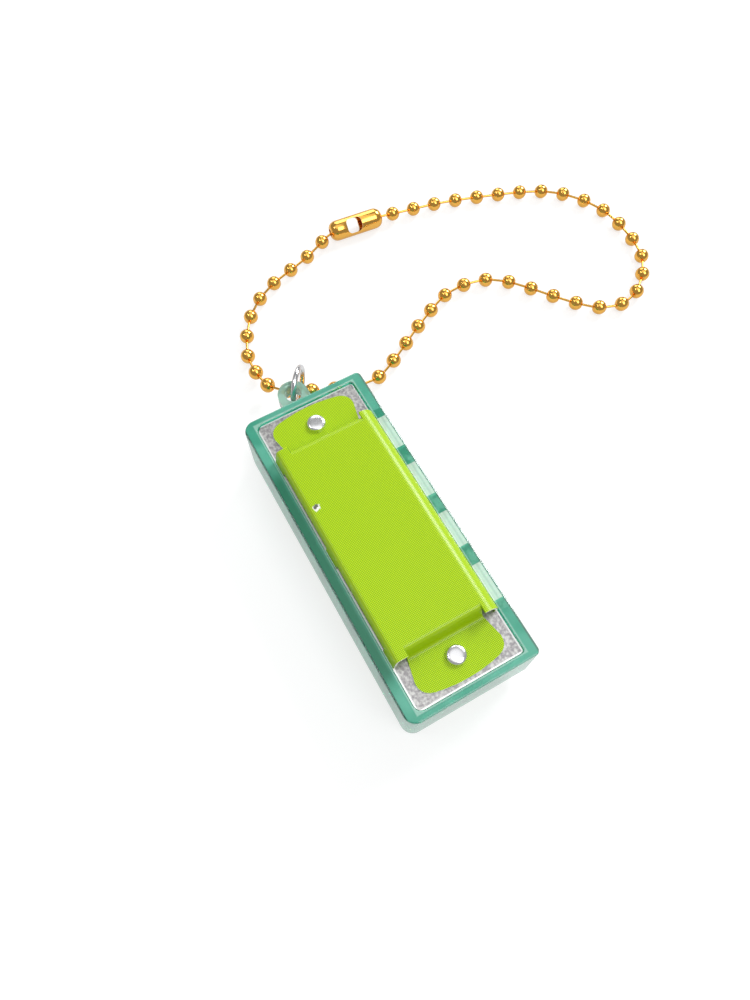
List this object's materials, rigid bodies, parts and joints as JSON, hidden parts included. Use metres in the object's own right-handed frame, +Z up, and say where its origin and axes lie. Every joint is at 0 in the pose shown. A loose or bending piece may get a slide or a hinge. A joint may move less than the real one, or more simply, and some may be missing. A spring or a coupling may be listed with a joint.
{
  "type": "mini harmonica",
  "caption": "Mini harmonica: translucent teal comb with mouth holes, sprung reeds on riveted plates, lime green tin covers, and a lug with a jump ring and a gold ball chain.",
  "frame": {"origin": "centre of the lower cover's flat face, on which the harmonica lies", "axes": "+X along the comb to the lug, -Y out of the mouth holes, +Z up through the upper cover"},
  "size_m": [0.0623, 0.0592, 0.0103],
  "materials": {
    "teal_clear_plastic": "clear moulded plastic, smooth",
    "lime_printed_tin": "printed tin with a clear gloss",
    "plate_metal": "rolled sheet, finely speckled",
    "reed_brass": "rolled",
    "rivet_metal": "bright",
    "ring_steel": "plated wire",
    "gold_plate": "bright plate"
  },
  "bodies": {
    "frame": {"comb": "teal_clear_plastic", "upper_reed_plate": "plate_metal", "lower_reed_plate": "plate_metal", "upper_cover": "lime_printed_tin", "lower_cover": "lime_printed_tin", "far_rivet": "rivet_metal", "near_rivet": "rivet_metal", "blow_reed_1_rivet": "rivet_metal", "draw_reed_1_rivet": "rivet_metal", "blow_reed_2_rivet": "rivet_metal", "draw_reed_2_rivet": "rivet_metal", "blow_reed_3_rivet": "rivet_metal", "draw_reed_3_rivet": "rivet_metal", "blow_reed_4_rivet": "rivet_metal", "draw_reed_4_rivet": "rivet_metal", "ball_chain": "gold_plate", "chain_connector": "gold_plate"},
    "blow_reed_1": {"blow_reed_1": "reed_brass"},
    "draw_reed_1": {"draw_reed_1": "reed_brass"},
    "blow_reed_2": {"blow_reed_2": "reed_brass"},
    "draw_reed_2": {"draw_reed_2": "reed_brass"},
    "blow_reed_3": {"blow_reed_3": "reed_brass"},
    "draw_reed_3": {"draw_reed_3": "reed_brass"},
    "blow_reed_4": {"blow_reed_4": "reed_brass"},
    "draw_reed_4": {"draw_reed_4": "reed_brass"},
    "jump_ring": {"jump_ring": "ring_steel"}
  },
  "joints": [
    {"name": "blow_reed_1_swing", "type": "hinge", "parent": "frame", "child": "blow_reed_1", "pos_m": [-0.00955, -0.0043, 0.00745], "axis": [1, 0, 0], "range_deg": [-2.5, 2.5], "stiffness_Nm_per_rad": 0.0005},
    {"name": "draw_reed_1_swing", "type": "hinge", "parent": "frame", "child": "draw_reed_1", "pos_m": [-0.00955, 0.0043, 0.00185], "axis": [1, 0, 0], "range_deg": [-2.5, 2.5], "stiffness_Nm_per_rad": 0.0005},
    {"name": "blow_reed_2_swing", "type": "hinge", "parent": "frame", "child": "blow_reed_2", "pos_m": [-0.00318, -0.0043, 0.00745], "axis": [1, 0, 0], "range_deg": [-2.5, 2.5], "stiffness_Nm_per_rad": 0.0005},
    {"name": "draw_reed_2_swing", "type": "hinge", "parent": "frame", "child": "draw_reed_2", "pos_m": [-0.00318, 0.0043, 0.00185], "axis": [1, 0, 0], "range_deg": [-2.5, 2.5], "stiffness_Nm_per_rad": 0.0005},
    {"name": "blow_reed_3_swing", "type": "hinge", "parent": "frame", "child": "blow_reed_3", "pos_m": [0.00318, -0.0043, 0.00745], "axis": [1, 0, 0], "range_deg": [-2.5, 2.5], "stiffness_Nm_per_rad": 0.0005},
    {"name": "draw_reed_3_swing", "type": "hinge", "parent": "frame", "child": "draw_reed_3", "pos_m": [0.00318, 0.0043, 0.00185], "axis": [1, 0, 0], "range_deg": [-2.5, 2.5], "stiffness_Nm_per_rad": 0.0005},
    {"name": "blow_reed_4_swing", "type": "hinge", "parent": "frame", "child": "blow_reed_4", "pos_m": [0.00955, -0.0043, 0.00745], "axis": [1, 0, 0], "range_deg": [-2.5, 2.5], "stiffness_Nm_per_rad": 0.0005},
    {"name": "draw_reed_4_swing", "type": "hinge", "parent": "frame", "child": "draw_reed_4", "pos_m": [0.00955, 0.0043, 0.00185], "axis": [1, 0, 0], "range_deg": [-2.5, 2.5], "stiffness_Nm_per_rad": 0.0005},
    {"name": "jump_ring_swing", "type": "hinge", "parent": "frame", "child": "jump_ring", "pos_m": [0.02148, -0.00087, 0.00515], "axis": [0.6428, 0.766, 0], "range_deg": [-18, 26]}
  ]
}
